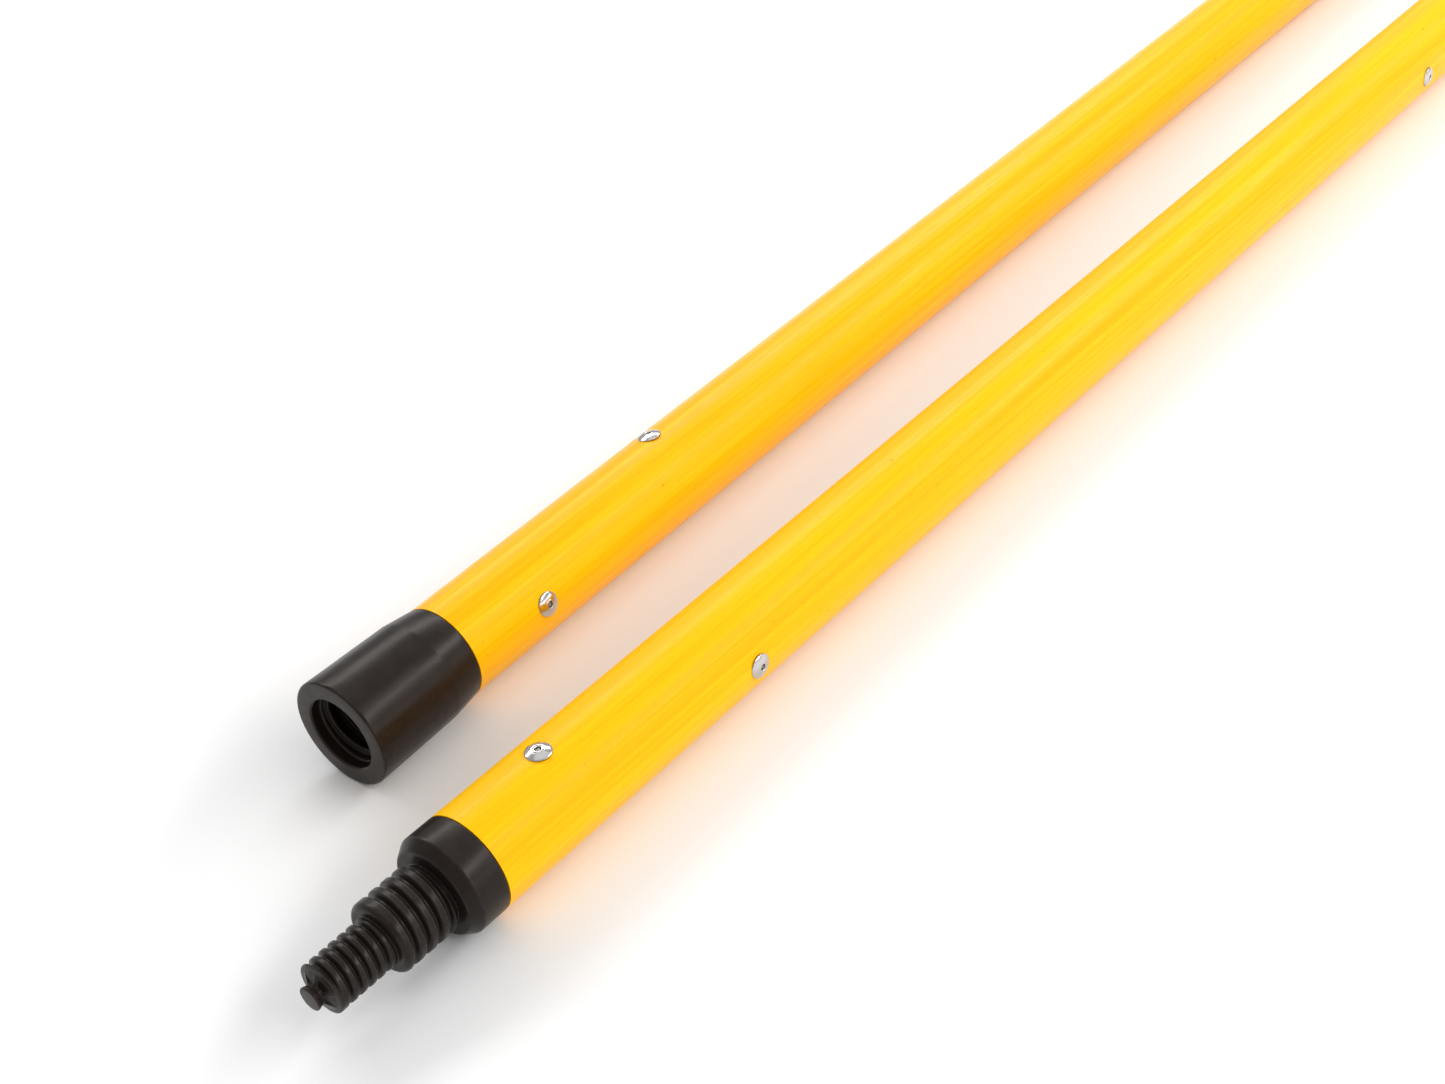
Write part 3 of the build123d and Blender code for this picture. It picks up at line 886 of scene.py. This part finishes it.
def moulded_group():
    """Faint mottle and fine grain of a moulded or drawn surface."""
    tree, given, result = effect(
        "moulded grain",
        [("Vector", "NodeSocketVector", None), ("Scale", "NodeSocketFloat", 1.0)],
        ("Mottle", "Grain", "Flow"),
    )
    sized = add(
        tree, "ShaderNodeVectorMath", {0: given["Vector"], "Scale": given["Scale"]}, operation="SCALE"
    ).outputs[0]
    flow = noise(tree, stretched(tree, sized, (40.0, 260.0, 260.0)), 1.0, 2.0, 0.5)
    for label, value in (
        ("Mottle", ranged(tree, noise(tree, sized, 130.0, 3.0, 0.55), 0.3, 0.7)),
        ("Grain", noise(tree, sized, 2600.0, 2.0, 0.6)),
        ("Flow", ranged(tree, flow, 0.3, 0.7)),
    ):
        tree.links.new(value, result.inputs[label])
    return tree


def rub_group():
    """Edge rub: the edge share broken up by noise, so that wear comes and goes along an edge."""
    tree, given, result = effect(
        "edge rub",
        [
            ("Vector", "NodeSocketVector", None),
            ("Edge", "NodeSocketFloat", 0.0),
            ("Wear", "NodeSocketFloat", 0.5),
        ],
        ("Mask",),
    )
    patches = ranged(tree, noise(tree, given["Vector"], 420.0, 3.0, 0.6), 0.32, 0.62)
    strong = sums(tree, "MULTIPLY", given["Edge"], patches)
    tree.links.new(sums(tree, "MULTIPLY", strong, given["Wear"]), result.inputs["Mask"])
    return tree


def dust_group():
    """Light dust that lies on surfaces facing up, in soft patches."""
    tree, given, result = effect(
        "light dust",
        [
            ("Vector", "NodeSocketVector", None),
            ("Normal", "NodeSocketVector", None),
            ("Amount", "NodeSocketFloat", 0.2),
        ],
        ("Mask",),
    )
    upward = add(tree, "ShaderNodeSeparateXYZ", {0: given["Normal"]}).outputs[2]
    facing = ranged(tree, upward, 0.35, 0.95)
    patches = ranged(tree, noise(tree, given["Vector"], 65.0, 4.0, 0.6), 0.42, 0.68)
    mask = sums(tree, "MULTIPLY", sums(tree, "MULTIPLY", facing, patches), given["Amount"])
    tree.links.new(mask, result.inputs["Mask"])
    return tree


def placed(tree, name, inputs):
    """A shader group placed in a material, built the first time that it is asked for."""
    makers = {
        "drawn fibre": drawn_fibre_group,
        "hairline scratches": hairline_group,
        "moulded grain": moulded_group,
        "edge rub": rub_group,
        "light dust": dust_group,
    }
    group = bpy.data.node_groups.get(name) or makers[name]()
    made = tree.nodes.new("ShaderNodeGroup")
    made.node_tree = group
    for label, value in inputs.items():
        if isinstance(value, bpy.types.NodeSocket):
            tree.links.new(value, made.inputs[label])
        else:
            made.inputs[label].default_value = value
    return made.outputs


def new_material(name):
    """A material with a Principled shader joined to its output."""
    made = bpy.data.materials.new(name)
    made.use_nodes = True
    tree = made.node_tree
    tree.nodes.clear()
    shader = add(tree, "ShaderNodeBsdfPrincipled")
    add(tree, "ShaderNodeOutputMaterial", {"Surface": shader.outputs[0]})
    return made, tree, shader.inputs


def section_vector(tree, section):
    """Object coordinates turned and moved into a section's own frame."""
    origin, axes = section_frame(section)
    inputs = {
        "Vector": add(tree, "ShaderNodeTexCoord").outputs["Object"],
        "Location": tuple(-(axes @ origin)),
        "Rotation": tuple(Matrix(axes.tolist()).to_euler("XYZ")),
    }
    return add(tree, "ShaderNodeMapping", inputs, vector_type="POINT").outputs[0]


def share_of(tree, label):
    """A stored share read from the mesh."""
    return add(tree, "ShaderNodeAttribute", attribute_name=label).outputs["Fac"]


def bumped(tree, height, strength, distance):
    """A normal tilted by a height map."""
    inputs = {"Strength": strength, "Distance": distance, "Height": height}
    return add(tree, "ShaderNodeBump", inputs).outputs[0]


def fibre_tube_material(section):
    """Glossy yellow drawn fibre: resin with deep bands, pale streaks, burnt specks and scratches."""
    finish = bpy.context.scene.pole_finish
    made, tree, shader = new_material(f"{section} fibre tube")
    vector = section_vector(tree, section)
    fibre = placed(tree, "drawn fibre", {"Vector": vector})
    scratch = placed(tree, "hairline scratches", {"Vector": vector, "Cover": 0.8})["Mask"]
    grain = placed(tree, "moulded grain", {"Vector": vector, "Scale": 1.0})
    deep, pale = rgba(finish.resin_deep), rgba(finish.resin_pale)
    paint = tinged(tree, rgba(finish.resin), fibre["Bands"], 0.55, deep)
    paint = tinged(tree, paint, fibre["Streaks"], 0.35, pale)
    paint = tinged(tree, paint, fibre["Hairs"], 0.22, deep)
    paint = tinged(tree, paint, fibre["Specks"], 0.7, rgba(finish.resin_speck))
    paint = tinged(tree, paint, scratch, 0.5, pale)
    tree.links.new(paint, shader["Base Color"])
    gloss = ranged(tree, grain["Mottle"], 0, 1, finish.resin_gloss - 0.03, finish.resin_gloss + 0.06, False)
    rough = sums(tree, "ADD", gloss, sums(tree, "MULTIPLY", scratch, 0.25))
    tree.links.new(rough, shader["Roughness"])
    shader["IOR"].default_value = 1.5
    shader["Specular IOR Level"].default_value = 0.16
    shader["Specular Tint"].default_value = (1.0, 0.88, 0.45, 1.0)
    height = sums(tree, "SUBTRACT", fibre["Height"], sums(tree, "MULTIPLY", scratch, 0.7))
    tree.links.new(bumped(tree, height, 0.35, 0.05 * MM), shader["Normal"])
    return made


def nylon_material(section):
    """Satin brownish-black nylon: flow marks, fine grain, rubbed edges, a little dust, and painted shade in
    the grooves, the neck and the socket's bore.

    The socket's flat face is painted a little paler, a painted sheen, by the front share.
    """
    finish = bpy.context.scene.pole_finish
    made, tree, shader = new_material(f"{section} black nylon")
    vector = section_vector(tree, section)
    grain = placed(tree, "moulded grain", {"Vector": vector, "Scale": 1.0})
    rub = placed(tree, "edge rub", {"Vector": vector, "Edge": share_of(tree, EDGE), "Wear": 0.55})["Mask"]
    normal = add(tree, "ShaderNodeNewGeometry").outputs["Normal"]
    dust = placed(tree, "light dust", {"Vector": vector, "Normal": normal, "Amount": 0.03})["Mask"]
    scratch = placed(tree, "hairline scratches", {"Vector": vector, "Cover": 0.5})["Mask"]
    body = rgba(finish.nylon)
    worn_and_sheen = rgba(finish.nylon_rub_and_sheen)
    paint = tinged(tree, body, grain["Mottle"], 0.12, worn_and_sheen)
    paint = blended(tree, rub, paint, worn_and_sheen)
    # the socket's flat face painted paler: a painted sheen, by the front share
    paint = tinged(tree, paint, share_of(tree, FRONT_SHEEN), 0.45, worn_and_sheen)
    paint = blended(tree, dust, paint, (0.16, 0.14, 0.12, 1.0))
    paint = tinged(tree, paint, scratch, 0.3, worn_and_sheen)
    # painted shade in grooves, the neck and the socket's bore, by the recess share
    paint = tinged(tree, paint, share_of(tree, RECESS_SHADE), 0.45, (0.004, 0.0035, 0.003, 1.0))
    tree.links.new(paint, shader["Base Color"])
    gloss = ranged(tree, grain["Flow"], 0, 1, finish.nylon_gloss - 0.04, finish.nylon_gloss + 0.05, False)
    gloss = sums(tree, "ADD", gloss, sums(tree, "MULTIPLY", sums(tree, "ADD", dust, scratch), 0.3))
    tree.links.new(gloss, shader["Roughness"])
    shader["IOR"].default_value = 1.5
    shader["Specular IOR Level"].default_value = 0.18
    shader["Specular Tint"].default_value = (1.0, 0.93, 0.88, 1.0)
    height = sums(tree, "ADD", grain["Grain"], sums(tree, "MULTIPLY", grain["Flow"], 0.8))
    height = sums(tree, "SUBTRACT", height, scratch)
    tree.links.new(bumped(tree, height, 0.22, 0.03 * MM), shader["Normal"])
    return made


def aluminium_material():
    """Set aluminium: bright crown, a rougher bore darkened with painted shade, and stained patches, with
    fine tool marks.
    """
    finish = bpy.context.scene.pole_finish
    made, tree, shader = new_material("rivet aluminium")
    vector = add(tree, "ShaderNodeTexCoord").outputs["Object"]
    grain = placed(tree, "moulded grain", {"Vector": vector, "Scale": 3.0})
    rub = placed(tree, "edge rub", {"Vector": vector, "Edge": share_of(tree, EDGE), "Wear": 0.5})["Mask"]
    scratch = placed(tree, "hairline scratches", {"Vector": vector, "Cover": 0.9})["Mask"]
    stain = sums(tree, "MULTIPLY", grain["Mottle"], 0.18)
    # the bore's darker, duller colour is painted shade; the stains and rubbed edges are real
    dull_and_shade = sums(tree, "MAXIMUM", stain, sums(tree, "MULTIPLY", share_of(tree, RECESS_SHADE), 0.85))
    dull_and_shade = sums(tree, "MAXIMUM", dull_and_shade, sums(tree, "MULTIPLY", rub, 0.6))
    paint = blended(tree, dull_and_shade, rgba(finish.aluminium), rgba(finish.aluminium_stain_and_shade))
    tree.links.new(paint, shader["Base Color"])
    shader["Metallic"].default_value = 1.0
    rough = ranged(tree, dull_and_shade, 0, 1, 0.13, 0.45, False)
    tree.links.new(sums(tree, "ADD", rough, sums(tree, "MULTIPLY", scratch, 0.2)), shader["Roughness"])
    height = sums(tree, "ADD", grain["Mottle"], sums(tree, "MULTIPLY", grain["Grain"], 0.4))
    tree.links.new(bumped(tree, height, 0.16, 0.05 * MM), shader["Normal"])
    return made


def steel_material():
    """Torn steel: dark, coarse and a little brighter on its torn rim."""
    finish = bpy.context.scene.pole_finish
    made, tree, shader = new_material("mandrel steel")
    vector = add(tree, "ShaderNodeTexCoord").outputs["Object"]
    grain = placed(tree, "moulded grain", {"Vector": vector, "Scale": 4.0})
    rub = placed(tree, "edge rub", {"Vector": vector, "Edge": share_of(tree, EDGE), "Wear": 0.8})["Mask"]
    paint = tinged(tree, rgba(finish.steel), grain["Mottle"], 0.5, (0.07, 0.06, 0.055, 1.0))
    paint = blended(tree, rub, paint, (0.42, 0.41, 0.40, 1.0))
    tree.links.new(paint, shader["Base Color"])
    shader["Metallic"].default_value = 0.9
    tree.links.new(ranged(tree, grain["Flow"], 0, 1, 0.42, 0.62, False), shader["Roughness"])
    tree.links.new(bumped(tree, grain["Grain"], 0.6, 0.05 * MM), shader["Normal"])
    return made


def floor_material():
    """A matt pale floor with a barely seen unevenness."""
    finish = bpy.context.scene.pole_finish
    made, tree, shader = new_material("pale floor")
    vector = add(tree, "ShaderNodeTexCoord").outputs["Object"]
    cloud = ranged(tree, noise(tree, vector, 3.0, 3.0, 0.5), 0.2, 0.8)
    shade = tuple(0.985 * c for c in finish.floor)
    tree.links.new(blended(tree, cloud, rgba(finish.floor), rgba(shade)), shader["Base Color"])
    shader["Roughness"].default_value = 0.9
    shader["Specular IOR Level"].default_value = 0.2
    return made


# Operators


class POLE_OT_tubes(bpy.types.Operator):
    """Give both packed tubes their drawn fibre finish."""

    bl_idname = "pole.tubes"
    bl_label = "Finish tubes"

    def execute(self, context):
        for section in SECTIONS:
            tube = frame["nodes"][f"{section}_tube"]
            tube.data.materials.clear()
            tube.data.materials.append(fibre_tube_material(section))
        return {"FINISHED"}


class POLE_OT_fittings(bpy.types.Operator):
    """Make the socket end and the male end of both sections."""

    bl_idname = "pole.fittings"
    bl_label = "Make fittings"

    def execute(self, context):
        for section in SECTIONS:
            nylon_material(section)
            make_socket_end(section)
            make_male_end(section)
        return {"FINISHED"}


class POLE_OT_rivets(bpy.types.Operator):
    """Make the eight set rivets."""

    bl_idname = "pole.rivets"
    bl_label = "Make rivets"

    def execute(self, context):
        aluminium_material()
        for section in SECTIONS:
            for fitting, name, station, turn in rivet_places():
                make_rivet(section, fitting, name, station, turn)
        return {"FINISHED"}


class POLE_OT_mandrels(bpy.types.Operator):
    """Make the broken mandrel left in each rivet."""

    bl_idname = "pole.mandrels"
    bl_label = "Make mandrels"

    def execute(self, context):
        steel_material()
        for section in SECTIONS:
            for fitting, name, station, turn in rivet_places():
                make_mandrel(section, fitting, name, station, turn)
        return {"FINISHED"}


def softbox(name, place, target, width, height, power, tint=(1.0, 1.0, 1.0)):
    """A rectangular light aimed at a point."""
    lamp = bpy.data.lights.new(name, "AREA")
    lamp.shape = "RECTANGLE"
    lamp.size, lamp.size_y = width, height
    lamp.energy = power
    lamp.color = tint
    made = bpy.data.objects.new(name, lamp)
    made.location = place
    made.rotation_euler = (Vector(target) - Vector(place)).to_track_quat("-Z", "Y").to_euler()
    bpy.context.scene.collection.objects.link(made)
    return made


class POLE_OT_stage(bpy.types.Operator):
    """Make the floor, the lights and the camera."""

    bl_idname = "pole.stage"
    bl_label = "Set the stage"

    def execute(self, context):
        stage = context.scene.pole_stage
        reach = np.array([-4.0, 4.0])
        corners = np.array([(x, y, 0.0) for y in reach for x in reach])
        mesh = bpy.data.meshes.new("floor")
        mesh.from_pydata(corners.tolist(), [], [(0, 1, 3, 2)])
        mesh.materials.append(floor_material())
        floor = bpy.data.objects.new("floor", mesh)
        context.scene.collection.objects.link(floor)

        world = bpy.data.worlds.new("soft surround")
        world.use_nodes = True
        background = world.node_tree.nodes["Background"]
        background.inputs["Color"].default_value = (1.0, 1.0, 1.0, 1.0)
        background.inputs["Strength"].default_value = stage.sky
        context.scene.world = world

        origin, _ = section_frame("section_a")
        base = Vector((origin[0], origin[1], 0.0))
        target = base + Vector(LIT_POINT)
        softbox("front softbox", target + Vector((0.6, -1.0, 1.0)), target, 2.2, 0.30, stage.front_power)
        softbox("back softbox", target + Vector((0.5, 1.0, 1.0)), target, 2.2, 0.34, stage.back_power)
        softbox("low softbox", target + Vector((0.3, -1.3, 0.30)), target, 2.2, 0.30, stage.low_power)
        softbox("top softbox", target + Vector((0.2, 0.1, 1.9)), target, 1.8, 1.8, stage.top_power)

        ahead = Vector(
            (
                math.cos(stage.heading) * math.cos(stage.dip),
                math.sin(stage.heading) * math.cos(stage.dip),
                -math.sin(stage.dip),
            )
        )
        level = ahead.cross(Vector((0, 0, 1))).normalized()
        upright = level.cross(ahead)
        right = level * math.cos(stage.lean) - upright * math.sin(stage.lean)
        above = upright * math.cos(stage.lean) + level * math.sin(stage.lean)
        lens = bpy.data.cameras.new("camera")
        lens.lens = stage.lens
        lens.sensor_width = 36.0
        lens.clip_start = 0.01
        lens.clip_end = 50.0
        camera = bpy.data.objects.new("camera", lens)
        turned = Matrix((right, above, -ahead)).transposed().to_4x4()
        camera.matrix_world = Matrix.Translation(base + Vector(stage.eye)) @ turned
        context.scene.collection.objects.link(camera)
        context.scene.camera = camera
        context.scene.view_settings.view_transform = "Standard"
        return {"FINISHED"}


class POLE_PT_sidebar(bpy.types.Panel):
    """Sizes, finishes and steps of the pole."""

    bl_idname = "POLE_PT_sidebar"
    bl_label = "Extension pole"
    bl_space_type = "VIEW_3D"
    bl_region_type = "UI"
    bl_category = "Pole"

    def draw(self, context):
        for step in STEPS:
            self.layout.operator(step.bl_idname)
        for settings in SETTINGS:
            box = self.layout.box()
            box.label(text=settings.removeprefix("pole_").capitalize())
            group = getattr(context.scene, settings)
            for name in group.__annotations__:
                box.prop(group, name)


STEPS = (POLE_OT_tubes, POLE_OT_fittings, POLE_OT_rivets, POLE_OT_mandrels, POLE_OT_stage)
SETTINGS = {
    "pole_section": PoleSectionSizes,
    "pole_male": PoleMaleSizes,
    "pole_socket": PoleSocketSizes,
    "pole_rivet": PoleRivetSizes,
    "pole_finish": PoleFinishes,
    "pole_stage": PoleStage,
}
CLASSES = (*SETTINGS.values(), *STEPS, POLE_PT_sidebar)


def register():
    """Register every class and hang the settings on the scene."""
    for item in CLASSES:
        bpy.utils.register_class(item)
    for name, settings in SETTINGS.items():
        setattr(bpy.types.Scene, name, PointerProperty(type=settings))


def unregister():
    """Take the settings and every class away again."""
    for name in SETTINGS:
        delattr(bpy.types.Scene, name)
    for item in reversed(CLASSES):
        bpy.utils.unregister_class(item)


def main():
    """Build everything in order."""
    register()
    for step in STEPS:
        space, name = step.bl_idname.split(".")
        getattr(getattr(bpy.ops, space), name)()


if __name__ == "__main__":
    main()
